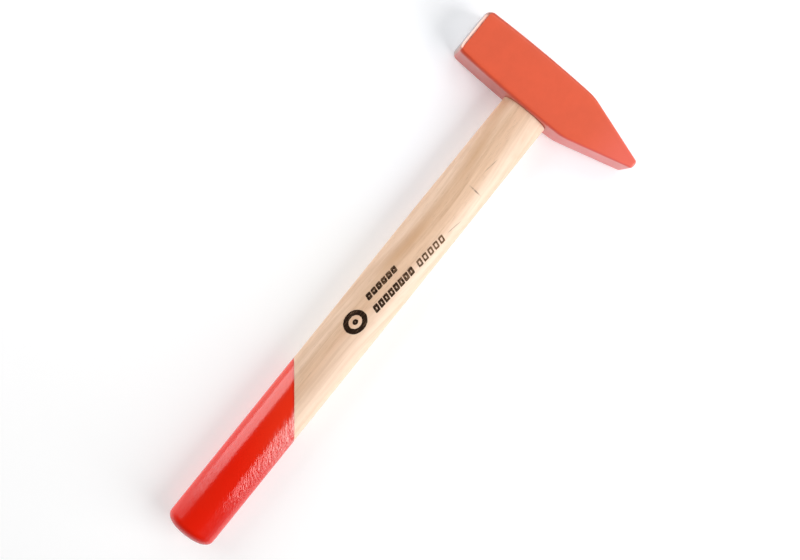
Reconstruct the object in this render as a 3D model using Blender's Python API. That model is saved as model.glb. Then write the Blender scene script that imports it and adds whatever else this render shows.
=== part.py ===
"""A cross-peen engineer's hammer of the 300 g size, lying on its side.

Metres, +Z up. +X runs along the handle towards the head and +Y towards the striking face. The origin is on
the flat side that the head rests on, straight below the middle of its eye.
"""

from math import cos, pi, radians, sin

import bmesh
import bpy
from mathutils import Vector

# Overall sizes
OVERALL_LENGTH = 0.3010  # from the handle's butt to the top of the head
FACE_Y = 0.0475  # striking face to the handle's axis
PEEN_Y = -0.0590  # edge of the peen to the handle's axis
HEAD_WIDTH = 0.0264  # across the head, along the handle, at the face and where the peen starts
CHEEK_BULGE = 0.0007  # how far the top and the underside swell out at the eye
CHEEK_Y = 0.0088  # where they swell most
CHEEK_REACH = 0.0340  # how far from there they are level with the ends again
HEAD_DEPTH = 0.0250  # between the head's two flat sides
FACE_EDGE_RADIUS = 0.0023  # rounding of the head's long edges, by the face
PEEN_EDGE_RADIUS = 0.0013  # and by the peen's tip

# Rounding of the striking face's edge: (length along Y, inset), larger at the top and the underside
FACE_END_ROUND = (0.0042, 0.0036)
FACE_SIDE_ROUND = (0.0022, 0.0018)

# Peen: a wedge that leans a little towards the handle
PEEN_BREAK_Y = -0.0218
PEEN_BREAK_BLEND = 0.0042
PEEN_TIP_TOP = 0.0016
PEEN_TIP_BOTTOM = -0.0027
PEEN_TIP_RADIUS = 0.0012
PEEN_CORNER_RADIUS = 0.0012

# Eye: an oval hole along X, narrowest a third of the way up
EYE_LONG = 0.0224
EYE_SHORT = 0.0134
EYE_WAIST = 0.94
EYE_WAIST_X = -0.0040

# Handle
HANDLE_WIDTH = 0.0271  # at its widest, where the neck starts
NECK_WIDTH = 0.0266
BUTT_WIDTH = 0.0267
GRIP_THICKNESS = 0.0196
NECK_THICKNESS = 0.0190
NECK_LENGTH = 0.085
SHOULDER_ROUND = 0.0004
BUTT_DOME = 0.0062
BUTT_FULLNESS = 2.35
FULLNESS = 1.12  # of the oval sections, where 1 is an ellipse
TONGUE_PROUD = 0.0008  # how far the handle's end stands out of the eye
KERF_DEPTH = 0.0190

# Wedges
KERF_WIDTH = 0.0300  # the saw kerf runs right across the tongue
WOOD_WEDGE_WIDTH = 0.0206
WOOD_WEDGE_NARROW = 0.0192
WOOD_WEDGE_THICK = 0.0034
WOOD_WEDGE_THIN = 0.0012
STEEL_WEDGE_WIDTH = 0.0082
STEEL_WEDGE_THICK = 0.0022
STEEL_WEDGE_THIN = 0.0007
STEEL_WEDGE_DEPTH = 0.0120
STEEL_WEDGE_Y = 0.0052
STEEL_WEDGE_TURN = 24  # degrees from straight across

GAP = 0.0003  # between pieces that touch
CUTTER_REACH = 0.0040  # how far a cutter stands out of the end that it cuts
AXIS_Z = HEAD_DEPTH / 2
TOP_X = HEAD_WIDTH / 2 + CHEEK_BULGE


def clear_scene():
    for obj in list(bpy.data.objects):
        bpy.data.objects.remove(obj, do_unlink=True)


def new_collection(name):
    collection = bpy.data.collections.new(name)
    bpy.context.scene.collection.children.link(collection)
    return collection


def material(name, colour, roughness, metallic=0.0, coat=0.0):
    made = bpy.data.materials.new(name)
    made.use_nodes = True
    made.diffuse_color = (*colour, 1)
    shader = made.node_tree.nodes["Principled BSDF"]
    shader.inputs["Base Color"].default_value = (*colour, 1)
    shader.inputs["Roughness"].default_value = roughness
    shader.inputs["Metallic"].default_value = metallic
    shader.inputs["Coat Weight"].default_value = coat
    return made


def smooth_step(t):
    t = min(max(t, 0.0), 1.0)
    return t * t * (3 - 2 * t)


def rounded_rectangle(low, high, half_depth, radius, steps):
    """Points (x, z) round a rectangle with round corners, anticlockwise, z measured from the middle."""
    radius = min(radius, 0.98 * half_depth, 0.49 * (high - low))
    points = []
    for corner in range(4):
        x = (high - radius) if corner in (0, 3) else (low + radius)
        z = (half_depth - radius) if corner in (0, 1) else (radius - half_depth)
        for step in range(steps + 1):
            angle = pi / 2 * (corner + step / steps)
            points.append((x + radius * cos(angle), z + radius * sin(angle)))
    return points


def oval(half_width, half_thickness, squareness, count):
    """Points (y, z) round an oval, anticlockwise. A squareness of 1 is an ellipse, and more is fuller."""
    points = []
    for step in range(count):
        angle = 2 * pi * step / count
        c = cos(angle)
        s = sin(angle)
        reach = (abs(c) ** (2 * squareness) + abs(s) ** (2 * squareness)) ** (-0.5 / squareness)
        points.append((half_width * c * reach, half_thickness * s * reach))
    return points


def loft(name, rings):
    """A closed body through rings of equally many points, with a flat cap on each end."""
    mesh = bpy.data.meshes.new(name)
    bm = bmesh.new()
    made = [[bm.verts.new(point) for point in ring] for ring in rings]
    count = len(rings[0])
    for before, after in zip(made, made[1:]):
        for i in range(count):
            j = (i + 1) % count
            bm.faces.new((before[i], before[j], after[j], after[i]))
    bm.faces.new(made[0][::-1])
    bm.faces.new(made[-1])
    bmesh.ops.remove_doubles(bm, verts=bm.verts, dist=1e-6)
    bmesh.ops.recalc_face_normals(bm, faces=bm.faces)
    bm.to_mesh(mesh)
    bm.free()
    return bpy.data.objects.new(name, mesh)


def shade(obj, angle=30):
    obj.data.shade_smooth()
    obj.data.set_sharp_from_angle(angle=radians(angle))


def cut(obj, cutter):
    boolean = obj.modifiers.new("cut_" + cutter.name, "BOOLEAN")
    boolean.operation = "DIFFERENCE"
    boolean.object = cutter
    boolean.solver = "EXACT"


def hide_cutter(obj, cutters):
    cutters.objects.link(obj)
    obj.hide_render = True
    obj.display_type = "WIRE"


def head_edges(y):
    """The head's lower and upper edge along X at this y, in the side view."""
    swell = CHEEK_BULGE * max(0.0, 1 - ((y - CHEEK_Y) / CHEEK_REACH) ** 2)
    half = HEAD_WIDTH / 2 + swell
    run = PEEN_BREAK_Y - PEEN_Y
    past = (PEEN_BREAK_Y - y) / run
    # The two slopes start in a soft bend: none before it, a parabola through it, a straight line after it.
    blend = PEEN_BREAK_BLEND / run
    if past <= -blend:
        share = 0.0
    elif past < blend:
        share = (past + blend) ** 2 / (4 * blend)
    else:
        share = past
    low = -half + share * (PEEN_TIP_BOTTOM + half)
    high = half + share * (PEEN_TIP_TOP - half)
    return low, high


def edge_radius(y):
    share = (y - PEEN_Y) / (FACE_Y - PEEN_Y)
    return PEEN_EDGE_RADIUS + (FACE_EDGE_RADIUS - PEEN_EDGE_RADIUS) * share


def head_ring(y, inset=0.0, depth_inset=0.0, steps=4):
    low, high = head_edges(y)
    half_depth = HEAD_DEPTH / 2 - depth_inset
    outline = rounded_rectangle(low + inset, high - inset, half_depth, edge_radius(y), steps)
    return [Vector((x, y, AXIS_Z + z)) for x, z in outline]


def rounding(y, length, inset):
    """How far the rounding of the striking face's edge has come in at this y."""
    t = max(0.0, (y - FACE_Y + length) / length)
    return inset * (1 - max(0.0, 1 - t * t) ** 0.5)


def head_rings():
    round_y = FACE_Y - FACE_END_ROUND[0]
    bend_y = PEEN_BREAK_Y + PEEN_BREAK_BLEND
    rings = []
    round_over = 7
    for i in range(round_over + 1):
        y = round_y + FACE_END_ROUND[0] * cos(pi / 2 * i / round_over)
        rings.append(head_ring(y, rounding(y, *FACE_END_ROUND), rounding(y, *FACE_SIDE_ROUND)))
    body = 8
    for i in range(1, body):
        rings.append(head_ring(round_y + (bend_y - round_y) * i / body))
    bend = 6
    for i in range(bend + 1):
        rings.append(head_ring(bend_y - 2 * PEEN_BREAK_BLEND * i / bend))
    # The peen's end is round in the side view, and its corners towards the flat sides are broken.
    turn = 6
    for i in range(turn + 1):
        angle = pi / 2 * i / turn
        y = PEEN_Y + PEEN_CORNER_RADIUS * (1 - sin(angle))
        near = max(0.0, 1 - (y - PEEN_Y) / PEEN_TIP_RADIUS)
        inset = PEEN_TIP_RADIUS * (1 - (1 - near**2) ** 0.5)
        rings.append(head_ring(y, inset, PEEN_CORNER_RADIUS * (1 - cos(angle))))
    return rings


def eye_scale(x):
    """How wide the eye is at this x, as a share of its width at the head's underside and top."""
    span = (TOP_X - EYE_WAIST_X) if x > EYE_WAIST_X else (EYE_WAIST_X + TOP_X)
    away = min(abs(x - EYE_WAIST_X) / span, 1.2)
    return EYE_WAIST + (1 - EYE_WAIST) * away**2


def eye_rings(shrink, low, high, count, stations=8):
    rings = []
    for i in range(stations + 1):
        x = low + (high - low) * i / stations
        scale = eye_scale(x)
        outline = oval(EYE_LONG / 2 * scale - shrink, EYE_SHORT / 2 * scale - shrink, FULLNESS, count)
        rings.append([Vector((x, y, AXIS_Z + z)) for y, z in outline])
    return rings


def make_head(parts, cutters):
    eye = loft("eye_cutter", eye_rings(0.0, -TOP_X - 0.002, TOP_X + 0.002, 40))
    hide_cutter(eye, cutters)
    head = loft("head", head_rings())
    cut(head, eye)
    shade(head)
    head.data.materials.append(material("orange_red_enamel", (0.78, 0.14, 0.07), 0.35, coat=0.3))
    parts.objects.link(head)
    return head


def handle_rings(count=40):
    """The handle from its butt to its tongue's end, as rings of (x, half width, half thickness)."""
    butt_x = TOP_X - OVERALL_LENGTH
    shoulder_x = -TOP_X - GAP
    stations = []
    dome = 8
    for i in range(1, dome + 1):
        angle = pi / 2 * i / dome
        x = butt_x + BUTT_DOME * (1 - cos(angle) ** (2 / BUTT_FULLNESS))
        scale = sin(angle) ** (2 / BUTT_FULLNESS)
        stations.append((x, BUTT_WIDTH / 2 * scale, GRIP_THICKNESS / 2 * scale))
    neck = 10
    for i in range(neck + 1):
        t = i / neck
        x = shoulder_x - SHOULDER_ROUND - NECK_LENGTH * (1 - t)
        slim = smooth_step(t)
        width = HANDLE_WIDTH + (NECK_WIDTH - HANDLE_WIDTH) * slim
        thickness = GRIP_THICKNESS + (NECK_THICKNESS - GRIP_THICKNESS) * slim
        stations.append((x, width / 2, thickness / 2))
    for share in (0.35, 1.0):
        x = shoulder_x - SHOULDER_ROUND * (1 - share**0.5)
        inset = SHOULDER_ROUND * share
        stations.append((x, NECK_WIDTH / 2 - inset, NECK_THICKNESS / 2 - 0.4 * inset))
    body = [
        [Vector((x, y, AXIS_Z + z)) for y, z in oval(half_width, half_thickness, FULLNESS, count)]
        for x, half_width, half_thickness in stations
    ]
    return body + eye_rings(GAP, shoulder_x, TOP_X + TONGUE_PROUD, count)


def wedge(name, width, narrow, thick, thin, depth, grow=0.0, reach=0.0):
    """A wedge pointing down -X with its top at x = 0, its width along Y and its thickness along Z.

    A cutter for it is the same shape grown all round, with its top carried up by reach.
    """
    rings = []
    for x in (-depth - grow, reach):
        share = -x / depth
        half = (thick + (thin - thick) * share) / 2 + grow
        side = (width + (narrow - width) * share) / 2 + grow
        outline = [(side, half), (-side, half), (-side, -half), (side, -half)]
        rings.append([Vector((x, y, z)) for y, z in outline])
    return loft(name, rings)


def drive_in(obj, y=0.0, turn=0.0):
    """Puts a wedge or its cutter in the eye, its top level with the tongue's end."""
    obj.location = (TOP_X + TONGUE_PROUD, y, AXIS_Z)
    obj.rotation_euler = (radians(turn), 0.0, 0.0)


def make_handle(parts):
    handle = loft("handle", handle_rings())
    shade(handle, 40)
    handle.data.materials.append(material("pale_wood", (0.72, 0.50, 0.32), 0.55))
    parts.objects.link(handle)
    return handle


def make_wooden_wedge(parts, cutters, handle):
    taper = (WOOD_WEDGE_THICK, WOOD_WEDGE_THIN, KERF_DEPTH)
    wooden = wedge("wooden_wedge", WOOD_WEDGE_WIDTH, WOOD_WEDGE_NARROW, *taper)
    drive_in(wooden)
    wooden.data.materials.append(material("wedge_wood", (0.55, 0.36, 0.20), 0.60))
    parts.objects.link(wooden)

    kerf = wedge("kerf_cutter", KERF_WIDTH, KERF_WIDTH, *taper, grow=GAP, reach=CUTTER_REACH)
    drive_in(kerf)
    hide_cutter(kerf, cutters)
    cut(handle, kerf)
    return wooden


def make_steel_wedges(parts, cutters, handle, wooden):
    look = material("wedge_steel", (0.42, 0.42, 0.43), 0.40, metallic=1.0)
    sizes = (
        STEEL_WEDGE_WIDTH,
        STEEL_WEDGE_WIDTH,
        STEEL_WEDGE_THICK,
        STEEL_WEDGE_THIN,
        STEEL_WEDGE_DEPTH,
    )
    for number, side in ((1, 1), (2, -1)):
        y = side * STEEL_WEDGE_Y
        turn = 90 + side * STEEL_WEDGE_TURN
        piece = wedge(f"steel_wedge_{number}", *sizes)
        drive_in(piece, y, turn)
        piece.data.materials.append(look)
        parts.objects.link(piece)

        slot = wedge(f"slot_cutter_{number}", *sizes, grow=GAP, reach=CUTTER_REACH)
        drive_in(slot, y, turn)
        hide_cutter(slot, cutters)
        cut(handle, slot)
        cut(wooden, slot)


def main():
    clear_scene()
    parts = new_collection("cross_peen_hammer")
    cutters = new_collection("cutters")
    make_head(parts, cutters)
    handle = make_handle(parts)
    wooden = make_wooden_wedge(parts, cutters, handle)
    make_steel_wedges(parts, cutters, handle, wooden)


main()
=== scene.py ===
"""The looks of a cross-peen hammer: enamelled head, bare striking face, pale wooden handle dipped in red.

Metres. +X runs along the handle to the head, +Y to the striking face and +Z up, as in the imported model.
"""

from math import cos, pi, radians, sin, sqrt, tan

import bmesh
import bpy
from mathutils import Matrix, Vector, noise


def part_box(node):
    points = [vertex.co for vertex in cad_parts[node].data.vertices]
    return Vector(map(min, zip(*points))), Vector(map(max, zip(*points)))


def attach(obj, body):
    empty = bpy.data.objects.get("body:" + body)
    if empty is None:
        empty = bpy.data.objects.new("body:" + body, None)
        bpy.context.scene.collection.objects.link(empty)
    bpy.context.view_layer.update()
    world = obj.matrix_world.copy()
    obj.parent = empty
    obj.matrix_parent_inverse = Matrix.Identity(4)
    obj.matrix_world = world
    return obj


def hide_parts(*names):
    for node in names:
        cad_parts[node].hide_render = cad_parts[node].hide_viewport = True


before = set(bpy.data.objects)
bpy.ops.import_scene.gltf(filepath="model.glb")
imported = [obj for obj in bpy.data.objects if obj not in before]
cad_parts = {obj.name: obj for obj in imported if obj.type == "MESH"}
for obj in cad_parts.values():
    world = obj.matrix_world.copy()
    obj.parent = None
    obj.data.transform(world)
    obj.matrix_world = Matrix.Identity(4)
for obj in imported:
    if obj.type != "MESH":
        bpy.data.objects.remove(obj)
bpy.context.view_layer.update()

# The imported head's and handle's corners give the sizes that the finer pieces keep.
HEAD_LOW, HEAD_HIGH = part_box("head")
HANDLE_LOW, HANDLE_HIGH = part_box("handle")
AXIS_Z = (HEAD_LOW.z + HEAD_HIGH.z) / 2
HEAD_DEPTH = HEAD_HIGH.z - HEAD_LOW.z
TOP_X = HEAD_HIGH.x
FACE_Y = HEAD_HIGH.y
PEEN_Y = HEAD_LOW.y
BUTT_X = HANDLE_LOW.x
TONGUE_X = HANDLE_HIGH.x

# Head
CHEEK_BULGE = 0.0007
CHEEK_Y = 0.0088
CHEEK_REACH = 0.0340
END_HALF_WIDTH = TOP_X - CHEEK_BULGE
FACE_EDGE_RADIUS = 0.0023
PEEN_EDGE_RADIUS = 0.0013
FACE_END_ROUND = (0.0042, 0.0036)  # rounding of the striking face's edge: length along Y, inset
FACE_SIDE_ROUND = (0.0022, 0.0018)
FACE_CROWN = 0.00012
BARE_LENGTH = 0.0019  # how much of the flat sides behind the striking face has no enamel
BARE_TOP_LENGTH = 0.0030  # and of the head's top, where the handle's end shows
BARE_UNDERSIDE_LENGTH = 0.0017
BARE_BLEND = 0.0018  # how far in from the top and the underside the flat sides' own length begins
ENAMEL_THICK = 0.00008
ENAMEL_LAP = 0.0006  # how far the bare end reaches in under the enamel
ENAMEL_WANDER = 0.00010  # how far the enamel's edge wanders, and its waves per metre
ENAMEL_WANDER_RATE = 700
# Near its edge: share of the way there, and how far the enamel has thinned
ENAMEL_THINNING = ((0.3, 0), (0.55, 0), (0.75, 0), (0.88, 0), (0.965, 0.12), (0.985, 0.38), (1, 1))
PLAIN_END_Y = FACE_Y - 0.0045  # up to here the head's outline is a plain one
STEEL_SINK = 1.3 * ENAMEL_THICK  # the bare end lies this far inside the enamel's outside
PEEN_BREAK_Y = -0.0218
PEEN_BREAK_BLEND = 0.0042
PEEN_TIP_TOP = 0.0016
PEEN_TIP_BOTTOM = -0.0027
PEEN_TIP_RADIUS = 0.0012
PEEN_CORNER_RADIUS = 0.0012
FORGING_WAVES = 0.00006  # depth of the forged surface's shallow unevenness
FORGING_PITCH = 0.011
FORGING_SEED = 3.1

# Eye
EYE_LONG = 0.0224
EYE_SHORT = 0.0134
EYE_WAIST = 0.94  # share of its size that is left at the narrowest place
EYE_WAIST_X = -0.0040
EYE_RIM = 0.0006
EYE_SIDES = 96

# Handle
HANDLE_WIDTH = HANDLE_HIGH.y - HANDLE_LOW.y
GRIP_THICKNESS = HANDLE_HIGH.z - HANDLE_LOW.z
NECK_WIDTH = 0.0266
BUTT_WIDTH = 0.0267
NECK_THICKNESS = 0.0190
NECK_LENGTH = 0.085
SHOULDER_ROUND = 0.0002
BUTT_DOME = 0.0062
BUTT_FULLNESS = 2.35  # 2 is round, and more is squarer
FULLNESS = 1.12  # of the section: 1 is an ellipse, and more is squarer
SHAFT_START = 0.002  # how far past the butt's dome the shaft's rings begin
SHOULDER_GAP = 0.00005
TONGUE_GAP = 0.00012
TONGUE_SHORT = 0.00015  # how far the tongue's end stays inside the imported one
TONGUE_EDGE = 0.00035
HANDLE_RING = 112

# Red dip: its edge is a straight slanting cut, further up the handle on the striking face's side
DIP_LONG = 0.1036
DIP_SHORT = 0.0702
DIP_THICK = 0.00016
DIP_FADE = 0.03  # share of the skin's length over which it thins out at its edge
DIP_SUNK = 0.00005
DIP_WANDER = 0.00012  # how far its edge wanders, and its waves per metre
DIP_WANDER_RATE = 900
WOOD_SINK = DIP_THICK + 0.00004  # the wood stays this far inside the true shape, so that the dip covers it
DIP_MIDDLE_X = BUTT_X + (DIP_LONG + DIP_SHORT) / 2
DIP_SLANT = (DIP_LONG - DIP_SHORT) / HANDLE_WIDTH

# Wedges: each has its width at the top and the bottom, its thickness at the top and the bottom, and its depth
WOOD_WEDGE = (0.0213, 0.0192, 0.0036, 0.0014, 0.0190)
WOOD_WEDGE_BELOW = 0.00030  # how far its top is below the model's end
WOOD_WEDGE_BEVEL = 0.00012
WOOD_SHARP = 34  # degrees over which an edge of the wood is kept sharp
STEEL_WEDGE = (0.0084, 0.0084, 0.0024, 0.0008, 0.0120)
STEEL_WEDGE_Y = 0.0052
STEEL_WEDGE_TURN = 24  # degrees away from lying straight across the wooden wedge
STEEL_WEDGE_BELOW = 0.00005
STEEL_WEDGE_BEVEL = 0.00016
KERF_WIDTH = 0.0300
WEDGE_GAP = 0.00006
SLOT_REACH = 0.003  # how far a slot's cutter stands out of the tongue's end


# ---------------------------------------------------------------- shapes


def smooth_step(t):
    t = min(max(t, 0.0), 1.0)
    return t * t * (3 - 2 * t)


def oval(half_width, half_thickness, count):
    """Points (y, z) round an oval, anticlockwise."""
    points = []
    for step in range(count):
        angle = 2 * pi * step / count
        c = cos(angle)
        s = sin(angle)
        reach = (abs(c) ** (2 * FULLNESS) + abs(s) ** (2 * FULLNESS)) ** (-0.5 / FULLNESS)
        points.append((half_width * c * reach, half_thickness * s * reach))
    return points


def rounded_rectangle(low, high, half_depth, radius):
    """Points (x, z) round a rectangle with round corners, with points along its flats too."""
    turn = 7
    flat = 12
    radius = min(radius, 0.98 * half_depth, 0.49 * (high - low))
    corners = []
    for corner in range(4):
        x = high - radius if corner in (0, 3) else low + radius
        z = half_depth - radius if corner in (0, 1) else radius - half_depth
        steps = [pi / 2 * (corner + step / turn) for step in range(turn + 1)]
        corners.append([Vector((x + radius * cos(a), z + radius * sin(a))) for a in steps])
    points = []
    for corner in range(4):
        following = corners[(corner + 1) % 4][0]
        last = corners[corner][-1]
        points += corners[corner]
        points += [last.lerp(following, step / flat) for step in range(1, flat)]
    return points


def loft(rings):
    """A bmesh through rings of equally many points, closed by a flat face at each end."""
    bm = bmesh.new()
    made = [[bm.verts.new(point) for point in ring] for ring in rings]
    count = len(rings[0])
    for before, after in zip(made, made[1:]):
        for i in range(count):
            j = (i + 1) % count
            bm.faces.new((before[i], before[j], after[j], after[i]))
    bm.faces.new(made[0][::-1])
    bm.faces.new(made[-1])
    bmesh.ops.recalc_face_normals(bm, faces=bm.faces)
    return bm


def finish_mesh(name, bm, sharp=38):
    """Turns a bmesh into an object shaded smooth, with edges over this many degrees kept sharp."""
    mesh = bpy.data.meshes.new(name)
    bm.to_mesh(mesh)
    bm.free()
    obj = bpy.data.objects.new(name, mesh)
    bpy.context.scene.collection.objects.link(obj)
    mesh.shade_smooth()
    mesh.set_sharp_from_angle(angle=radians(sharp))
    return obj


def cut(obj, cutter):
    """Cuts one object by another for good, and removes the cutter."""
    boolean = obj.modifiers.new("cut", "BOOLEAN")
    boolean.operation = "DIFFERENCE"
    boolean.solver = "EXACT"
    boolean.object = cutter
    bpy.context.view_layer.update()
    graph = bpy.context.evaluated_depsgraph_get()
    mesh = bpy.data.meshes.new_from_object(obj.evaluated_get(graph), depsgraph=graph)
    obj.modifiers.clear()
    before = obj.data
    obj.data = mesh
    bpy.data.meshes.remove(before)
    bpy.data.objects.remove(cutter)


def sharpen(obj, sharp):
    """Smooth shading again after a cut, with edges over this many degrees kept sharp."""
    obj.data.shade_smooth()
    obj.data.set_sharp_from_angle(angle=radians(sharp))


def uneven(bm, depth, pitch, seed):
    """Pushes each vertex in along its normal by smooth noise, so none stands out of the true shape."""
    bm.normal_update()
    shift = Vector((seed, 2.3 * seed, -seed))
    moves = []
    for vertex in bm.verts:
        wave = noise.noise(vertex.co / pitch + shift)
        wave += 0.4 * noise.noise(vertex.co / (0.4 * pitch) - shift)
        moves.append(vertex.normal * depth * (0.35 * wave - 0.5))
    for vertex, move in zip(bm.verts, moves):
        vertex.co += move


# ---------------------------------------------------------------- head


def head_edges(y):
    """The head's lower and upper edge along X at this y."""
    swell = CHEEK_BULGE * max(0.0, 1 - ((y - CHEEK_Y) / CHEEK_REACH) ** 2)
    half = END_HALF_WIDTH + swell
    run = PEEN_BREAK_Y - PEEN_Y
    past = (PEEN_BREAK_Y - y) / run
    blend = PEEN_BREAK_BLEND / run
    if past <= -blend:
        share = 0.0
    elif past < blend:
        share = (past + blend) ** 2 / (4 * blend)
    else:
        share = past
    return -half + share * (PEEN_TIP_BOTTOM + half), half + share * (PEEN_TIP_TOP - half)


def edge_radius(y):
    """Radius of the head's long edges, larger towards the striking face."""
    share = (y - PEEN_Y) / (FACE_Y - PEEN_Y)
    return PEEN_EDGE_RADIUS + (FACE_EDGE_RADIUS - PEEN_EDGE_RADIUS) * share


def head_ring(y, inset=0.0, depth_inset=0.0):
    """A ring of the head at this y, inset at its top and underside, and depth_inset at its sides."""
    low, high = head_edges(y)
    half_depth = HEAD_DEPTH / 2 - depth_inset
    outline = rounded_rectangle(low + inset, high - inset, half_depth, edge_radius(y))
    return [Vector((x, y, AXIS_Z + z)) for x, z in outline]


def rounding(y, length, inset):
    """How far the rounding of the striking face's edge has come in at this y."""
    t = max(0.0, (y - FACE_Y + length) / length)
    return inset * (1 - sqrt(max(0.0, 1 - t * t)))


def rounded_ring(y, sink):
    """A ring of the head near the striking face, sunk this far below the true shape."""
    return head_ring(y, rounding(y, *FACE_END_ROUND) + sink, rounding(y, *FACE_SIDE_ROUND) + sink)


def peen_end_rings():
    """From the peen's very edge back to where its corners are full."""
    rings = []
    turn = 16
    for i in range(turn + 1):
        angle = pi / 2 * (1 - i / turn)
        y = PEEN_Y + PEEN_CORNER_RADIUS * (1 - sin(angle))
        near = max(0.0, 1 - (y - PEEN_Y) / PEEN_TIP_RADIUS)
        inset = PEEN_TIP_RADIUS * (1 - sqrt(1 - near * near))
        rings.append(head_ring(y, inset, PEEN_CORNER_RADIUS * (1 - cos(angle))))
    return rings


def eye_scale(x):
    """Share of the eye's full size at this x."""
    span = TOP_X - EYE_WAIST_X if x > EYE_WAIST_X else EYE_WAIST_X + TOP_X
    away = min(abs(x - EYE_WAIST_X) / span, 1.2)
    return EYE_WAIST + (1 - EYE_WAIST) * away**2


def eye_ring(x, shrink, count):
    """A ring of the eye at this x, this much smaller all round."""
    scale = eye_scale(x)
    outline = oval(EYE_LONG / 2 * scale - shrink, EYE_SHORT / 2 * scale - shrink, count)
    return [Vector((x, y, AXIS_Z + z)) for y, z in outline]


def eye_cutter():
    """The eye as a solid, opening out at both ends to break the eye's edges."""
    rim = TOP_X - EYE_RIM
    past = 3 * EYE_RIM
    rings = [eye_ring(-rim - past, -past, EYE_SIDES)]
    stations = 12
    for i in range(stations + 1):
        rings.append(eye_ring(-rim + 2 * rim * i / stations, 0.0, EYE_SIDES))
    rings.append(eye_ring(rim + past, -past, EYE_SIDES))
    return finish_mesh("eye_cutter", loft(rings))


def enamel_end(start, low, high):
    """Where along Y the enamel stops, for a point of the ring where it stops on the flat sides."""
    bare = BARE_LENGTH
    bare += (BARE_UNDERSIDE_LENGTH - BARE_LENGTH) * smooth_step(1 - (start.x - low) / BARE_BLEND)
    bare += (BARE_TOP_LENGTH - BARE_LENGTH) * smooth_step(1 - (high - start.x) / BARE_BLEND)
    return FACE_Y - bare + ENAMEL_WANDER * noise.noise(start * ENAMEL_WANDER_RATE)


def make_head_enamel():
    """The head up to where the enamel stops, a little behind the striking face."""
    rings = peen_end_rings()
    start_y = PEEN_Y + PEEN_CORNER_RADIUS
    stations = 80
    for i in range(1, stations + 1):
        rings.append(head_ring(start_y + (PLAIN_END_Y - start_y) * i / stations))
    low, high = head_edges(FACE_Y - BARE_LENGTH)
    ends = [enamel_end(start, low, high) for start in head_ring(FACE_Y - BARE_LENGTH)]
    for share, thinned in ENAMEL_THINNING:
        ring = []
        for i, end in enumerate(ends):
            y = PLAIN_END_Y + (end - PLAIN_END_Y) * share
            ring.append(rounded_ring(y, ENAMEL_THICK * thinned)[i])
        rings.append(ring)
    bm = loft(rings)
    uneven(bm, FORGING_WAVES, FORGING_PITCH, FORGING_SEED)
    head = finish_mesh("head_enamelled", bm)
    cut(head, eye_cutter())
    sharpen(head, sharp=32)
    return head


def make_striking_face():
    """The bare steel end: the rounding, and a very slightly crowned face."""
    rings = []
    start_y = FACE_Y - BARE_TOP_LENGTH - ENAMEL_LAP
    turn = 16
    for i in range(turn + 1):
        t = sin(pi / 2 * i / turn)
        ring = rounded_ring(start_y + (FACE_Y - start_y) * t, STEEL_SINK)
        rings.append([Vector((point.x, point.y - FACE_CROWN * t, point.z)) for point in ring])
    outline = rings[-1]
    centre = sum(outline, Vector()) / len(outline)
    spread = 12
    for i in range(1, spread):
        share = 1 - i / spread
        y = FACE_Y - FACE_CROWN * share**2
        ring = [centre.lerp(point, share) for point in outline]
        rings.append([Vector((p.x, y, p.z)) for p in ring])
    return finish_mesh("striking_face", loft(rings))


# ---------------------------------------------------------------- handle


def handle_size(x):
    """Half width and half thickness of the handle at this x, short of its rounded ends."""
    neck_end = -TOP_X - SHOULDER_GAP - SHOULDER_ROUND
    neck_start = neck_end - NECK_LENGTH
    slim = smooth_step((x - neck_start) / NECK_LENGTH)
    if x < neck_start:
        share = max(0.0, (x - BUTT_X - BUTT_DOME) / (neck_start - BUTT_X - BUTT_DOME))
        width = BUTT_WIDTH + (HANDLE_WIDTH - BUTT_WIDTH) * share
    else:
        width = HANDLE_WIDTH + (NECK_WIDTH - HANDLE_WIDTH) * slim
    thickness = GRIP_THICKNESS + (NECK_THICKNESS - GRIP_THICKNESS) * slim
    return width / 2, thickness / 2


def butt_scale(x):
    """The butt's dome: how much of the full section is left at this x."""
    t = min(max(1 - (x - BUTT_X) / BUTT_DOME, 0.0), 1.0)
    return (1 - t**BUTT_FULLNESS) ** (1 / BUTT_FULLNESS)


def handle_top(x, y):
    """Height of the handle's upper side."""
    half_width, half_thickness = handle_size(x)
    share = abs(y / half_width) ** (2 * FULLNESS)
    return AXIS_Z + half_thickness * (1 - share) ** (0.5 / FULLNESS)


def dome_stations(count):
    """Values of x through the butt's dome, closer together near its end."""
    return [BUTT_X + BUTT_DOME * (1 - cos(pi / 2 * i / count) ** 0.9) for i in range(1, count + 1)]


def butt_rings():
    """The wood under the dip's dome, moved a little towards the head to stay inside it."""
    rings = []
    for x in dome_stations(14):
        half_width, half_thickness = handle_size(x)
        scale = butt_scale(x)
        outline = oval(half_width * scale - WOOD_SINK, half_thickness * scale - WOOD_SINK, HANDLE_RING)
        rings.append([Vector((x + 2 * WOOD_SINK, y, AXIS_Z + z)) for y, z in outline])
    return rings


def shaft_rings(shoulder_x):
    """From just past the butt's dome to the shoulder under the head."""
    rings = []
    start_x = BUTT_X + BUTT_DOME + SHAFT_START
    end_x = shoulder_x - SHOULDER_ROUND
    stations = 110
    for i in range(stations + 1):
        x = start_x + (end_x - start_x) * i / stations
        half_width, half_thickness = handle_size(x)
        outline = oval(half_width - WOOD_SINK, half_thickness - WOOD_SINK, HANDLE_RING)
        rings.append([Vector((x, y, AXIS_Z + z)) for y, z in outline])
    turn = 6
    for i in range(1, turn + 1):
        angle = pi / 2 * i / turn
        x = end_x + SHOULDER_ROUND * sin(angle)
        inset = SHOULDER_ROUND * (1 - cos(angle)) + WOOD_SINK
        outline = oval(NECK_WIDTH / 2 - inset, NECK_THICKNESS / 2 - 0.4 * inset, HANDLE_RING)
        rings.append([Vector((x, y, AXIS_Z + z)) for y, z in outline])
    return rings


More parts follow.
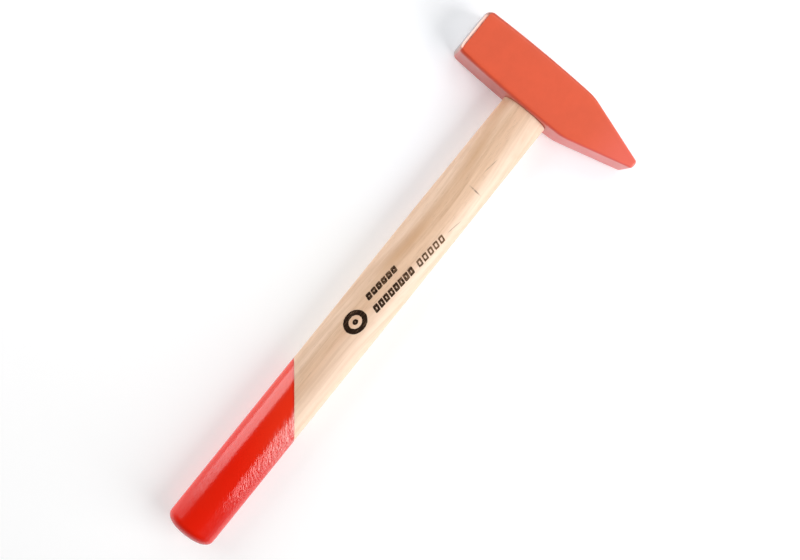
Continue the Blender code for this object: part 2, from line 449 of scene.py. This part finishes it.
def tongue_rings(shoulder_x):
    """The tongue in the eye, with the edge of its end broken."""
    rings = []
    tongue_end = TONGUE_X - TONGUE_SHORT
    stations = 10
    for i in range(stations + 1):
        x = shoulder_x + (tongue_end - TONGUE_EDGE - shoulder_x) * i / stations
        rings.append(eye_ring(x, TONGUE_GAP, HANDLE_RING))
    turn = 3
    for i in range(1, turn + 1):
        angle = pi / 2 * i / turn
        x = tongue_end - TONGUE_EDGE * (1 - sin(angle))
        rings.append(eye_ring(x, TONGUE_GAP + TONGUE_EDGE * (1 - cos(angle)), HANDLE_RING))
    return rings


def cut_steel_slots(obj):
    """Cuts the slots that the two steel wedges fill."""
    for side in (1, -1):
        slot = wedge_block("slot", *STEEL_WEDGE, grow=WEDGE_GAP, reach=SLOT_REACH)
        cut(obj, drive_in(slot, side * STEEL_WEDGE_Y, 90 + side * STEEL_WEDGE_TURN))


def make_handle():
    """The wooden handle from its butt to the end of its tongue, with the wedges' slots cut out."""
    shoulder_x = -TOP_X - SHOULDER_GAP
    rings = butt_rings() + shaft_rings(shoulder_x) + tongue_rings(shoulder_x)
    handle = finish_mesh("handle_wood", loft(rings))
    kerf = wedge_block("kerf", KERF_WIDTH, KERF_WIDTH, *WOOD_WEDGE[2:], grow=WEDGE_GAP, reach=SLOT_REACH)
    cut(handle, drive_in(kerf))
    cut_steel_slots(handle)
    sharpen(handle, WOOD_SHARP)
    return handle


def dip_edge_x(y):
    """Where the dip ends along the handle at this y, a straight slanting line with a faint wander."""
    share = (y + HANDLE_WIDTH / 2) / HANDLE_WIDTH
    wander = DIP_WANDER * noise.noise(Vector((DIP_WANDER_RATE * y, 0.0, 5.0)))
    return BUTT_X + DIP_SHORT + (DIP_LONG - DIP_SHORT) * share + wander


def dip_ring(t, outwards, first_x):
    """A ring of the dip's skin, t from 0 at the dome's end to 1 at the slanting edge."""
    half_width, half_thickness = handle_size(first_x)
    outline = oval(half_width + outwards, half_thickness + outwards, HANDLE_RING)
    ring = []
    for y, z in outline:
        x = first_x + (dip_edge_x(y) - first_x) * t
        ring.append(Vector((x, y, AXIS_Z + z)))
    return ring


def dome_ring(x, outwards):
    """A ring of the dip's skin over the butt's dome, this far outside the true shape."""
    half_width, half_thickness = handle_size(x)
    scale = butt_scale(x)
    outline = oval(half_width * scale + outwards, half_thickness * scale + outwards, HANDLE_RING)
    return [Vector((x - outwards, y, AXIS_Z + z)) for y, z in outline]


def make_dip():
    """The red dip as a thin closed skin: its outside, which thins out at the edge, and its inside."""
    first_x = BUTT_X + BUTT_DOME
    dome = dome_stations(18)
    stations = 64
    fading = 5
    inside = -DIP_THICK - DIP_SUNK
    rings = [dome_ring(x, 0.0) for x in dome]
    for i in range(1, stations + 1):
        rings.append(dip_ring(i / stations * (1 - DIP_FADE), 0.0, first_x))
    for i in range(1, fading + 1):
        thinned = 0.5 * DIP_THICK * smooth_step(i / fading)
        rings.append(dip_ring(1 - DIP_FADE * (1 - i / fading), -thinned, first_x))
    # The inside, with fewer rings, back to the butt
    for i in range(stations - 1, 0, -8):
        rings.append(dip_ring(i / stations * (1 - DIP_FADE), inside, first_x))
    rings += [dome_ring(x, inside) for x in reversed(dome)]
    return finish_mesh("grip_dip", loft(rings), sharp=60)


# ---------------------------------------------------------------- wedges


def wedge_block(name, width, narrow, thick, thin, depth, grow=0.0, reach=0.0, bevel=0.0):
    """A wedge pointing down -X with its top at x = 0, its width along Y and its thickness along Z.

    As a cutter it is larger all round by grow, and it stands out of the top by reach.
    """
    rings = []
    for x in (-depth - grow, reach):
        share = -x / depth
        half = (thick + (thin - thick) * share) / 2 + grow
        side = (width + (narrow - width) * share) / 2 + grow
        outline = ((side, half), (-side, half), (-side, -half), (side, -half))
        rings.append([Vector((x, y, z)) for y, z in outline])
    bm = loft(rings)
    if bevel:
        bmesh.ops.bevel(bm, geom=list(bm.edges), offset=bevel, segments=3, profile=0.5, affect="EDGES")
    return finish_mesh(name, bm, sharp=50)


def drive_in(obj, y=0.0, turn=0.0, below=0.0):
    """Moves a wedge's mesh into the eye, its top this far below the model's end."""
    spin = radians(turn)
    for vertex in obj.data.vertices:
        x, side, up = vertex.co
        vertex.co = (
            TONGUE_X - below + x,
            y + side * cos(spin) - up * sin(spin),
            AXIS_Z + side * sin(spin) + up * cos(spin),
        )
    obj.data.update()
    return obj


def make_wooden_wedge():
    wedge = wedge_block("wooden_wedge_fine", *WOOD_WEDGE, bevel=WOOD_WEDGE_BEVEL)
    drive_in(wedge, below=WOOD_WEDGE_BELOW)
    cut_steel_slots(wedge)
    sharpen(wedge, WOOD_SHARP)
    return wedge


def make_steel_wedge(number, side):
    wedge = wedge_block(f"steel_wedge_fine_{number}", *STEEL_WEDGE, bevel=STEEL_WEDGE_BEVEL)
    turn = 90 + side * STEEL_WEDGE_TURN
    return drive_in(wedge, side * STEEL_WEDGE_Y, turn, below=STEEL_WEDGE_BELOW)


# ---------------------------------------------------------------- print


PRINT_THICK = 0.00005
PRINT_TURN = radians(-4.4)
PRINT_AT = Vector((-0.1273, 0.0006))
INK_WANDER = 0.00016  # how far the ink's outline wavers, and its waves per metre
INK_WANDER_RATE = 1500
EMBLEM_AT = (-0.0230, -0.0012)
EMBLEM_STRETCH = 1.22
RING_RADII = (0.0031, 0.0055)
DOT_RADII = (0.0002, 0.0013)
BLOCK_SLANT = 0.22
# Each row: number of blocks, where it starts, its middle, a block's width, height and stroke, the gap.
BLOCK_ROWS = (
    (6, -0.0104, 0.0027, 0.0031, 0.0031, 0.00128, 0.0005),
    (8, -0.0122, -0.0042, 0.0031, 0.0038, 0.00126, 0.0005),
    (5, 0.0192, -0.0044, 0.0030, 0.0036, 0.00090, 0.0010),
)


def print_point(u, v, lift):
    """A point of the printed mark, u along the handle and v across it, laid on the wood's upper side."""
    x = PRINT_AT.x + u * cos(PRINT_TURN) - v * sin(PRINT_TURN)
    y = PRINT_AT.y + u * sin(PRINT_TURN) + v * cos(PRINT_TURN)
    return Vector((x, y, handle_top(x, y) - DIP_THICK + lift))


def ink_film(name, spot, columns, rows):
    """A thin closed film of ink round a hole.

    spot(s, t) gives a place on it as u and v: s from 0 to 1 goes once round, and t from the hole outwards.
    """
    bm = bmesh.new()
    layers = []
    for lift in (PRINT_THICK, -PRINT_THICK):
        grid = []
        for i in range(columns):
            column = []
            for j in range(rows + 1):
                u, v = spot(i / columns, j / rows)
                column.append(bm.verts.new(print_point(u, v, lift)))
            grid.append(column)
        layers.append(grid)
    upper, lower = layers
    for i in range(columns):
        k = (i + 1) % columns
        for j in range(rows):
            bm.faces.new((upper[i][j], upper[k][j], upper[k][j + 1], upper[i][j + 1]))
            bm.faces.new((lower[i][j + 1], lower[k][j + 1], lower[k][j], lower[i][j]))
        for j in (0, rows):
            bm.faces.new((upper[i][j], lower[i][j], lower[k][j], upper[k][j]))
    bmesh.ops.recalc_face_normals(bm, faces=bm.faces)
    return finish_mesh(name, bm)


def wavering(u, v):
    """Ink spreads a little unevenly into the grain, so its outline wavers."""
    close_u = u * INK_WANDER_RATE
    close_v = v * INK_WANDER_RATE
    return (
        u + INK_WANDER * noise.noise(Vector((close_u, close_v, 1.0))),
        v + INK_WANDER * noise.noise(Vector((close_u, close_v, 9.0))),
    )


def disc(middle, inner, outer):
    """The outline of a disc with a round hole, as ink_film takes it."""

    def spot(s, t):
        angle = 2 * pi * s
        radius = inner + (outer - inner) * t
        u = middle[0] + EMBLEM_STRETCH * radius * cos(angle)
        return wavering(u, middle[1] + radius * sin(angle))

    return spot


def open_block(left, middle, width, height, stroke):
    """The outline of a slanting block with a hole, as ink_film takes it."""

    def spot(s, t):
        side = cos(2 * pi * s)
        up = sin(2 * pi * s)
        square = (abs(side) ** 8 + abs(up) ** 8) ** -0.125
        u = side * square * (width / 2 - stroke * (1 - t))
        v = up * square * (height / 2 - stroke * (1 - t))
        return wavering(left + width / 2 + u + BLOCK_SLANT * v, middle + v)

    return spot


def make_print():
    """A bold ring with a dot in it, and three rows of plain open blocks, in black ink."""
    pieces = [
        ink_film("print_ring", disc(EMBLEM_AT, *RING_RADII), 96, 5),
        ink_film("print_dot", disc(EMBLEM_AT, *DOT_RADII), 32, 3),
    ]
    number = 0
    for count, start, middle, width, height, stroke, gap in BLOCK_ROWS:
        for i in range(count):
            number += 1
            spot = open_block(start + i * (width + gap), middle, width, height, stroke)
            pieces.append(ink_film(f"print_block_{number:02d}", spot, 56, 3))
    return pieces


# ---------------------------------------------------------------- materials


def put(tree, kind, inputs=None, **settings):
    """Adds a node. An input that is a socket is linked, and any other is set."""
    made = tree.nodes.new(kind)
    for key, value in settings.items():
        setattr(made, key, value)
    for key, value in (inputs or {}).items():
        if isinstance(value, bpy.types.NodeSocket):
            tree.links.new(value, made.inputs[key])
        else:
            made.inputs[key].default_value = value
    return made


def maths(tree, operation, a, b=0.0):
    return put(tree, "ShaderNodeMath", {0: a, 1: b}, operation=operation).outputs[0]


def times(tree, a, b):
    return maths(tree, "MULTIPLY", a, b)


def split(tree, vector):
    """The X, Y and Z of a vector, as three sockets."""
    return tuple(put(tree, "ShaderNodeSeparateXYZ", {0: vector}).outputs)


def mixed(tree, factor, a, b, blend="MIX"):
    """Colour a at factor 0 and b at 1. Each is a socket or three numbers."""
    inputs = {0: factor}
    for key, side in ((6, a), (7, b)):
        inputs[key] = side if isinstance(side, bpy.types.NodeSocket) else (*side, 1)
    return put(tree, "ShaderNodeMix", inputs, data_type="RGBA", blend_type=blend).outputs[2]


def between(tree, value, low, high, to_low=0.0, to_high=1.0, smooth=True):
    """Maps value from low..high to to_low..to_high, held at the ends."""
    inputs = {0: value, 1: low, 2: high, 3: to_low, 4: to_high}
    kind = "SMOOTHSTEP" if smooth else "LINEAR"
    return put(tree, "ShaderNodeMapRange", inputs, interpolation_type=kind).outputs[0]


def place(tree, stretch=(1, 1, 1), turn=(0, 0, 0), shift=(0, 0, 0)):
    """Object coordinates in metres, moved, turned and then scaled."""
    coords = put(tree, "ShaderNodeTexCoord").outputs["Object"]
    mapping = {"Vector": coords, "Location": shift, "Rotation": turn, "Scale": (1, 1, 1)}
    turned = put(tree, "ShaderNodeMapping", mapping).outputs[0]
    return put(tree, "ShaderNodeVectorMath", {0: turned, 1: stretch}, operation="MULTIPLY").outputs[0]


def length_of(tree, vector):
    return put(tree, "ShaderNodeVectorMath", {0: vector}, operation="LENGTH").outputs["Value"]


def cloud(tree, vector, scale, detail=2.0, roughness=0.5, distortion=0.0):
    """Smooth noise from 0 to 1."""
    inputs = {
        "Vector": vector,
        "Scale": scale,
        "Detail": detail,
        "Roughness": roughness,
        "Distortion": distortion,
    }
    return put(tree, "ShaderNodeTexNoise", inputs).outputs[0]


def bumped(tree, height, distance, onto=None):
    """A normal from a height of 0 to 1, where 1 stands out by distance metres."""
    inputs = {"Height": height, "Distance": distance, "Strength": 1.0}
    if onto is not None:
        inputs["Normal"] = onto
    return put(tree, "ShaderNodeBump", inputs).outputs[0]


def new_material(name, **fixed):
    """A material with its Principled shader, with the constant values set on the shader itself."""
    material = bpy.data.materials.new(name)
    material.use_nodes = True
    tree = material.node_tree
    shader = tree.nodes["Principled BSDF"]
    for key, value in fixed.items():
        shader.inputs[key.replace("_", " ")].default_value = value
    return material, tree, shader


def join(tree, shader, colour, roughness, normal):
    inputs = {"Base Color": colour, "Roughness": roughness, "Normal": normal, "Coat Normal": normal}
    for key, socket in inputs.items():
        tree.links.new(socket, shader.inputs[key])


ENAMEL = (0.765, 0.104, 0.041)
ENAMEL_DARKER = (0.715, 0.094, 0.035)
PAINTED_PEEN_SHEEN = (0.81, 0.125, 0.082)
PAINTED_UNDERSIDE_SHADE = (0.62, 0.078, 0.045)
PAINTED_PEEN_UNDERSIDE_SHADE = (0.74, 0.090, 0.070)
PAINTED_EDGE_SHADE = (0.55, 0.050, 0.015)
ENAMEL_SPECK = (0.50, 0.06, 0.03)


def enamel_material():
    """Orange-red enamel brushed and baked on a forging: near even, with orange peel and faint mottling."""
    material, tree, shader = new_material("head_enamel", IOR=1.5, Coat_Weight=0.4, Coat_Roughness=0.42)
    at = place(tree)
    along = split(tree, at)[1]
    mottle = cloud(tree, at, 70, 4.0, 0.6)
    colour = mixed(tree, between(tree, mottle, 0.3, 0.7), ENAMEL, ENAMEL_DARKER)
    # Painted highlight: towards the peen the enamel is painted paler and pinker, for the sheen of the light
    # on that side.
    colour = mixed(tree, between(tree, along, -0.026, -0.058), colour, PAINTED_PEEN_SHEEN)

    # Painted shade: the underside, which faces the handle, is painted a darker, duller red by its normal,
    # least so at the peen.
    normal_x, _, normal_z = split(tree, put(tree, "ShaderNodeNewGeometry").outputs["Normal"])
    underside_shade = mixed(tree, between(tree, along, 0.008, -0.022), PAINTED_UNDERSIDE_SHADE, PAINTED_PEEN_UNDERSIDE_SHADE)
    colour = mixed(tree, between(tree, normal_x, -0.3, -0.8), colour, underside_shade)

    # Painted shade: the round edges of the forging are painted a darker red, most near the striking face and
    # least at the peen.
    level = maths(tree, "ABSOLUTE", normal_z)
    edge = times(tree, between(tree, level, 0.30, 0.60), between(tree, level, 0.99, 0.90))
    past_peen = between(tree, along, -0.035, -0.008, 0.04, 0.30)
    near_face = between(tree, along, 0.032, 0.044, 0.0, 0.50)
    strength = maths(tree, "ADD", past_peen, near_face)
    colour = mixed(tree, times(tree, edge, strength), colour, PAINTED_EDGE_SHADE)
    specks = between(tree, cloud(tree, at, 2600, 1.0), 0.70, 0.78)
    colour = mixed(tree, times(tree, specks, 0.25), colour, ENAMEL_SPECK)

    roughness = between(tree, mottle, 0.25, 0.75, 0.30, 0.40, smooth=False)
    normal = bumped(tree, cloud(tree, at, 900, 2.0), 0.000012)
    normal = bumped(tree, cloud(tree, at, 260, 2.0), 0.00003, normal)
    join(tree, shader, colour, roughness, normal)
    return material


DIP_RED = (0.850, 0.0120, 0.0010)
DIP_RED_MOTTLE = (0.820, 0.0140, 0.0018)
DIP_THIN = (0.84, 0.034, 0.0080)
DIP_LOW_SIDE_SHADE = (0.66, 0.0080, 0.0012)
DIP_RIM_SHADE = (0.50, 0.020, 0.010)
DIP_STREAK_HIGHLIGHT = (0.86, 0.50, 0.46)


def dip_material():
    """Red gloss enamel over wood, more orange towards its edge, with slanting streaks left by a brush."""
    gloss = {"Specular_IOR_Level": 0.0, "Coat_Weight": 1.0, "Coat_IOR": 1.70, "Coat_Roughness": 0.18}
    material, tree, shader = new_material("grip_enamel", **gloss)
    at = place(tree)
    x, y, _ = split(tree, at)
    to_edge = maths(tree, "SUBTRACT", x, times(tree, y, DIP_SLANT))
    mottle = cloud(tree, at, 55, 3.0)
    colour = mixed(tree, between(tree, mottle, 0.3, 0.7), DIP_RED, DIP_RED_MOTTLE)
    thin = between(tree, to_edge, DIP_MIDDLE_X - 0.055, DIP_MIDDLE_X)
    colour = mixed(tree, times(tree, thin, 0.8), colour, DIP_THIN)
    # Painted shade: the -Y side, which faces the brighter softbox, is painted a darker red.
    colour = mixed(tree, between(tree, y, -0.003, -0.011), colour, DIP_LOW_SIDE_SHADE)
    # Painted shade: a narrow band just inside the dip's edge is painted darker.
    rim = between(tree, to_edge, DIP_MIDDLE_X - 0.0022, DIP_MIDDLE_X - 0.0004)
    colour = mixed(tree, times(tree, rim, 0.55), colour, DIP_RIM_SHADE)

    # The brush's streaks stand out on the -Y side, and near the edge their ridges are painted pale pink, a
    # painted highlight.
    streaks = cloud(tree, place(tree, (110, 800, 800), (0, 0, radians(-38))), 1.0, 4.0, 0.6, 0.5)
    low_side = between(tree, y, -0.0005, -0.0055)
    past_butt = between(tree, x, BUTT_X + 0.010, BUTT_X + 0.050)
    brushed = between(tree, times(tree, low_side, past_butt), 0.0, 1.0, 0.12, 1.0)
    relief = times(tree, streaks, brushed)
    near_edge = between(tree, to_edge, DIP_MIDDLE_X - 0.030, DIP_MIDDLE_X - 0.004, 0.0, 0.40)
    highlit_ridges = times(tree, low_side, between(tree, streaks, 0.40, 0.66))
    colour = mixed(tree, times(tree, near_edge, highlit_ridges), colour, DIP_STREAK_HIGHLIGHT)

    roughness = between(tree, mottle, 0.25, 0.75, 0.50, 0.60, smooth=False)
    grain = cloud(tree, place(tree, (60, 700, 700)), 1.0, 2.0)
    normal = bumped(tree, relief, 0.00042, bumped(tree, grain, 0.00002))
    join(tree, shader, colour, roughness, normal)
    return material


SCRATCH = (0.25, 0.25, 0.26)
STEEL_PINK_TINT = (0.62, 0.30, 0.24)
STEEL_PINK_TINT_REACH = 0.0011


def steel_material(name, colour, roughness, lay, depth, tint_from=None):
    """Ground steel with scratches stretched by lay, and tinted pinkish red just behind the Y given as its
    last argument.
    """
    material, tree, shader = new_material(name, Metallic=1.0)
    at = place(tree)
    scratches = cloud(tree, place(tree, lay), 1.0, 3.0, 0.7)
    stain = cloud(tree, at, 160, 3.0)
    darker = tuple(0.8 * c for c in colour)
    shade = mixed(tree, between(tree, stain, 0.35, 0.7), colour, darker)
    shade = mixed(tree, times(tree, scratches, 0.35), shade, SCRATCH)
    if tint_from is not None:
        pink_tint = between(tree, split(tree, at)[1], tint_from, tint_from - STEEL_PINK_TINT_REACH, 0.0, 0.85)
        shade = mixed(tree, pink_tint, shade, STEEL_PINK_TINT)
    rough = between(tree, scratches, 0.3, 0.7, roughness * 0.8, roughness * 1.3, smooth=False)
    join(tree, shader, shade, rough, bumped(tree, scratches, depth))
    return material


BOW_MIDDLE_X = -0.085  # where the grain's bow towards -Y is deepest
HEARTWOOD = (0.60, 0.335, 0.165)
HEARTWOOD_Y = 0.0056
HEARTWOOD_STRETCHES = ((-0.106, 0.026), (-0.034, 0.034))  # middle along X, and reach
FLECK = (0.12, 0.055, 0.025)
# Each fleck: its centre, half its size along X and along Y, its turn and its strength.
FLECKS = (
    ((-0.0615, -0.0044, 0.0202), (0.00060, 0.0050), radians(3), 0.55),
    ((-0.0616, -0.0050, 0.0202), (0.00040, 0.0018), radians(3), 0.60),
    ((-0.0823, -0.0077, 0.0200), (0.0060, 0.00036), radians(10), 0.75),
    ((-0.0467, -0.0027, 0.0200), (0.0060, 0.00036), radians(8), 0.60),
)


def fleck(tree, at, centre, half_sizes, turn):
    """1 inside a small soft oval on the wood's upper side, 0 away from it."""
    moved = put(tree, "ShaderNodeVectorMath", {0: at, 1: centre}, operation="SUBTRACT").outputs[0]
    inputs = {"Vector": moved, "Angle": turn, "Axis": (0, 0, 1)}
    turned = put(tree, "ShaderNodeVectorRotate", inputs).outputs[0]
    shares = (1 / half_sizes[0], 1 / half_sizes[1], 80.0)
    scaled = put(tree, "ShaderNodeVectorMath", {0: turned, 1: shares}, operation="MULTIPLY").outputs[0]
    return between(tree, length_of(tree, scaled), 1.0, 0.4)


def growth_rings(tree, y, z, heart, pitch):
    """Two masks: how far through its year the wood is, ring by ring, and the dark late wood, broken up."""
    drift = cloud(tree, place(tree, (5, 30, 30)), 1.0, 2.0)
    wobble = times(tree, maths(tree, "SUBTRACT", drift, 0.5), 0.010)
    across = maths(tree, "ADD", maths(tree, "SUBTRACT", y, heart[0]), wobble)
    up = maths(tree, "SUBTRACT", z, heart[1])
    out = put(tree, "ShaderNodeCombineXYZ", {0: 0.0, 1: across, 2: up}).outputs[0]
    phase = maths(tree, "FRACT", maths(tree, "DIVIDE", length_of(tree, out), pitch))
    ring = times(tree, phase, between(tree, phase, 1.0, 0.86))
    late = times(tree, between(tree, phase, 0.78, 0.92), between(tree, phase, 1.0, 0.95))
    broken = cloud(tree, place(tree, (38, 300, 300), shift=(0.021, 0, 0)), 1.0, 3.0)
    return ring, times(tree, late, between(tree, broken, 0.48, 0.66))


def heartwood(tree, x, bowed, blotch):
    """A soft band that follows the grain, stronger over two stretches and gone towards the dip."""
    off = maths(tree, "ABSOLUTE", maths(tree, "SUBTRACT", bowed, HEARTWOOD_Y))
    ragged = times(tree, maths(tree, "SUBTRACT", blotch, 0.5), 0.006)
    band = between(tree, maths(tree, "ADD", off, ragged), 0.0037, 0.0002)
    strength = 0.30
    for middle, reach in HEARTWOOD_STRETCHES:
        away = maths(tree, "ABSOLUTE", maths(tree, "SUBTRACT", x, middle))
        strength = maths(tree, "ADD", strength, between(tree, away, reach, 0.2 * reach, 0.0, 0.62))
    return times(tree, times(tree, band, strength), between(tree, x, -0.165, -0.130))


def wood_material(name, light, dark, end, ring_pitch, heart, roughness, streak=0.0, flecks=()):
    """Close-grained pale wood, its growth rings round a line along X that passes through heart."""
    material, tree, shader = new_material(name, Coat_Weight=0.75, Coat_Roughness=0.42)
    at = place(tree)
    x, y, z = split(tree, at)
    from_bow = maths(tree, "ABSOLUTE", maths(tree, "SUBTRACT", x, BOW_MIDDLE_X))
    bowed = maths(tree, "SUBTRACT", y, between(tree, from_bow, 0.005, 0.085, 0.0, 0.0065))
    ring, late = growth_rings(tree, bowed, z, heart, ring_pitch)
    fibres = cloud(tree, place(tree, (26, 1700, 1700)), 1.0, 4.0, 0.65)
    pores = cloud(tree, place(tree, (210, 5200, 5200), shift=(0.3, 0, 0)), 1.0, 1.0)
    pores = times(tree, between(tree, pores, 0.62, 0.74), between(tree, ring, 0.0, 0.7, 0.35, 1.0))
    blotch = cloud(tree, place(tree, (9, 60, 60), shift=(0.07, 0, 0)), 1.0, 2.0)
    mottle = cloud(tree, place(tree, (70, 230, 230), shift=(0.51, 0, 0)), 1.0, 3.0, 0.6)

    pink = (light[0], light[1] * 0.90, light[2] * 0.92)
    brown = tuple(0.42 * c for c in dark)
    colour = mixed(tree, times(tree, ring, 0.24), light, dark)
    colour = mixed(tree, between(tree, blotch, 0.42, 0.72, 0.0, 0.6), colour, pink)
    colour = mixed(tree, between(tree, fibres, 0.35, 0.75, 0.0, 0.30), colour, dark)
    colour = mixed(tree, between(tree, mottle, 0.42, 0.70, 0.0, 0.22), colour, dark)
    colour = mixed(tree, times(tree, pores, 0.45), colour, brown)
    colour = mixed(tree, times(tree, late, 0.5), colour, dark)
    if streak:
        # Painted highlight: the -Y side, which faces the brighter softbox, is painted paler and creamier; tan
        # heartwood runs along the other.
        painted_highlight = (light[0], light[1] * 1.05, light[2] * 1.12)
        colour = mixed(tree, between(tree, bowed, -0.0035, -0.0085, 0.0, 0.85), colour, painted_highlight)
        band = heartwood(tree, x, bowed, blotch)
        colour = mixed(tree, times(tree, band, streak), colour, HEARTWOOD)
    # Fine darker lines along the grain.
    stretched = {0: times(tree, x, 13), 1: times(tree, bowed, 430)}
    bands = cloud(tree, put(tree, "ShaderNodeCombineXYZ", stretched).outputs[0], 1.0, 3.0, 0.6)
    colour = mixed(tree, between(tree, bands, 0.42, 0.66, 0.0, 0.40), colour, dark)
    ends = between(tree, x, TOP_X - 0.0008, TOP_X + 0.0002)
    colour = mixed(tree, times(tree, ends, 0.75), colour, end, "MULTIPLY")
    for centre, half_sizes, turn, strength in flecks:
        spot = times(tree, fleck(tree, at, centre, half_sizes, turn), strength)
        ragged = times(tree, spot, between(tree, fibres, 0.35, 0.60, 0.35, 1.0))
        colour = mixed(tree, ragged, colour, FLECK)

    rough = between(tree, fibres, 0.3, 0.7, roughness * 0.9, roughness * 1.12, smooth=False)
    normal = bumped(tree, fibres, 0.00003)
    normal = bumped(tree, maths(tree, "SUBTRACT", 1.0, pores), 0.00004, normal)
    join(tree, shader, colour, rough, normal)
    return material


INK = (0.018, 0.0080, 0.0040)
INK_FADED = (0.24, 0.14, 0.08)
INK_THINS_X = (-0.145, -0.098)  # between these it gets thinner towards the head


def ink_material():
    """Black ink pressed into the grain, thin in places so that the wood shows brown through it."""
    material, tree, shader = new_material("print_ink", Specular_IOR_Level=0.06)
    worn = cloud(tree, place(tree, (240, 2400, 2400)), 1.0, 4.0, 0.7)
    x = split(tree, place(tree))[0]
    thin = between(tree, x, *INK_THINS_X, 0.0, 0.20, smooth=False)
    faded = between(tree, maths(tree, "ADD", worn, thin), 0.52, 0.76, 0.0, 0.85)
    colour = mixed(tree, faded, INK, INK_FADED)
    roughness = between(tree, worn, 0.3, 0.7, 0.55, 0.75, smooth=False)
    join(tree, shader, colour, roughness, bumped(tree, worn, 0.00002))
    return material


FLOOR_NEAR = (0.87, 0.88, 0.90)
FLOOR_FAR = (0.62, 0.62, 0.62)
GLOW_NEAR = (0.195, 0.205, 0.220)
GLOW_FAR = (0.42, 0.42, 0.42)


def floor_material():
    """White paper that glows a little, and less so round the head."""
    material, tree, shader = new_material("studio_floor", Roughness=0.8, Emission_Strength=1.0)
    far = between(tree, length_of(tree, place(tree, shift=(0.025, 0, 0))), 0.050, 0.110)
    tree.links.new(mixed(tree, far, FLOOR_NEAR, FLOOR_FAR), shader.inputs["Base Color"])
    tree.links.new(mixed(tree, far, GLOW_NEAR, GLOW_FAR), shader.inputs["Emission Color"])
    return material


# ---------------------------------------------------------------- stage


CAMERA_AT = (-0.1404, 0.0609, 0.6685)
CAMERA_TURN = (-2.156, -5.521, -50.954)  # degrees
CAMERA_LENS = 58.56
FLOOR_HALF = 6.0
FLOOR_DROP = 0.0002
LIGHT_AIM = Vector((-0.12, 0.0, 0.01))
LIGHT_DISTANCE = 0.9
ROOM_COLOUR = (0.97, 0.98, 1.0)
ROOM_HORIZON = 0.40
ROOM_CEILING = 0.03


def make_camera():
    """Almost straight above, turned so that the handle runs from low left to the head at high right."""
    data = bpy.data.cameras.new("camera")
    data.sensor_width = 36
    data.lens = CAMERA_LENS
    data.clip_start = 0.01
    data.clip_end = 30
    camera = bpy.data.objects.new("camera", data)
    camera.location = CAMERA_AT
    camera.rotation_euler = [radians(angle) for angle in CAMERA_TURN]
    bpy.context.scene.collection.objects.link(camera)
    bpy.context.scene.camera = camera


def make_floor():
    bm = bmesh.new()
    bmesh.ops.create_grid(bm, x_segments=1, y_segments=1, size=FLOOR_HALF)
    floor = finish_mesh("floor", bm)
    floor.location.z = -FLOOR_DROP
    floor.data.materials.append(floor_material())


def softbox(name, bearing, low, high, length, radiance, along=0.0):
    """A soft light that faces the hammer's middle and is then moved along X.

    It stands in the direction of bearing, and reaches from low to high. All three are in degrees.
    """
    middle = radians((low + high) / 2)
    side = radians(bearing)
    out = Vector((cos(side) * cos(middle), sin(side) * cos(middle), sin(middle)))
    height = 2 * LIGHT_DISTANCE * tan(radians((high - low) / 2))
    data = bpy.data.lights.new(name, "AREA")
    data.shape = "RECTANGLE"
    data.size = length
    data.size_y = height
    data.energy = radiance * pi * length * height
    light = bpy.data.objects.new(name, data)
    light.location = LIGHT_AIM + out * LIGHT_DISTANCE + Vector((along, 0, 0))
    light.rotation_euler = (-out).to_track_quat("-Z", "Y").to_euler()
    bpy.context.scene.collection.objects.link(light)


def make_world():
    """A pale room with a dim ceiling, so that what faces up mirrors little light."""
    world = bpy.data.worlds.new("studio")
    world.use_nodes = True
    tree = world.node_tree
    height = split(tree, put(tree, "ShaderNodeTexCoord").outputs["Generated"])[2]
    strength = between(tree, height, 0.15, 0.60, ROOM_HORIZON, ROOM_CEILING)
    background = tree.nodes["Background"]
    background.inputs["Color"].default_value = (*ROOM_COLOUR, 1)
    tree.links.new(strength, background.inputs["Strength"])
    bpy.context.scene.world = world


def make_lights():
    softbox("softbox_face_side", 90, 2, 56, 0.72, 3.0, along=0.055)
    softbox("softbox_peen_side", -90, 3, 63, 0.66, 5.0, along=0.12)
    softbox("softbox_head_side", 0, 22, 62, 0.9, 1.1)


# ---------------------------------------------------------------- assembly


def add_piece(obj, material, slot, *nodes):
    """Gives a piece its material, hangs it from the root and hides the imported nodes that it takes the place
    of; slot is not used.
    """
    obj.data.materials.clear()
    obj.data.materials.append(material)
    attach(obj, "root")
    if nodes:
        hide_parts(*nodes)


def main():
    wood = wood_material(
        "handle_wood",
        light=(0.815, 0.555, 0.376),
        dark=(0.60, 0.36, 0.21),
        end=(0.80, 0.66, 0.52),
        ring_pitch=0.0024,
        heart=(0.034, -0.060),
        roughness=0.50,
        streak=0.85,
        flecks=FLECKS,
    )
    wedge_wood = wood_material(
        "wedge_wood",
        light=(0.56, 0.36, 0.20),
        dark=(0.40, 0.23, 0.12),
        end=(0.75, 0.62, 0.50),
        ring_pitch=0.0011,
        heart=(0.0, 0.075),
        roughness=0.62,
    )
    bare_steel = steel_material(
        "bare_steel",
        colour=(0.66, 0.62, 0.60),
        roughness=0.32,
        lay=(260, 3000, 3000),
        depth=0.000008,
        tint_from=FACE_Y,
    )
    wedge_steel = steel_material(
        "wedge_steel",
        colour=(0.42, 0.41, 0.40),
        roughness=0.42,
        lay=(900, 900, 900),
        depth=0.00003,
    )

    add_piece(make_head_enamel(), enamel_material(), "head_enamel", "head")
    add_piece(make_striking_face(), bare_steel, "bare_steel")
    add_piece(make_handle(), wood, "handle_wood", "handle")
    add_piece(make_dip(), dip_material(), "grip_enamel")
    add_piece(make_wooden_wedge(), wedge_wood, "wedge_wood", "wooden_wedge")
    for number, side in ((1, 1), (2, -1)):
        add_piece(make_steel_wedge(number, side), wedge_steel, "wedge_steel", f"steel_wedge_{number}")
    ink = ink_material()
    for piece in make_print():
        add_piece(piece, ink, "print_ink")

    make_floor()
    make_camera()
    make_lights()
    make_world()
    bpy.context.scene.view_settings.view_transform = "Standard"


main()
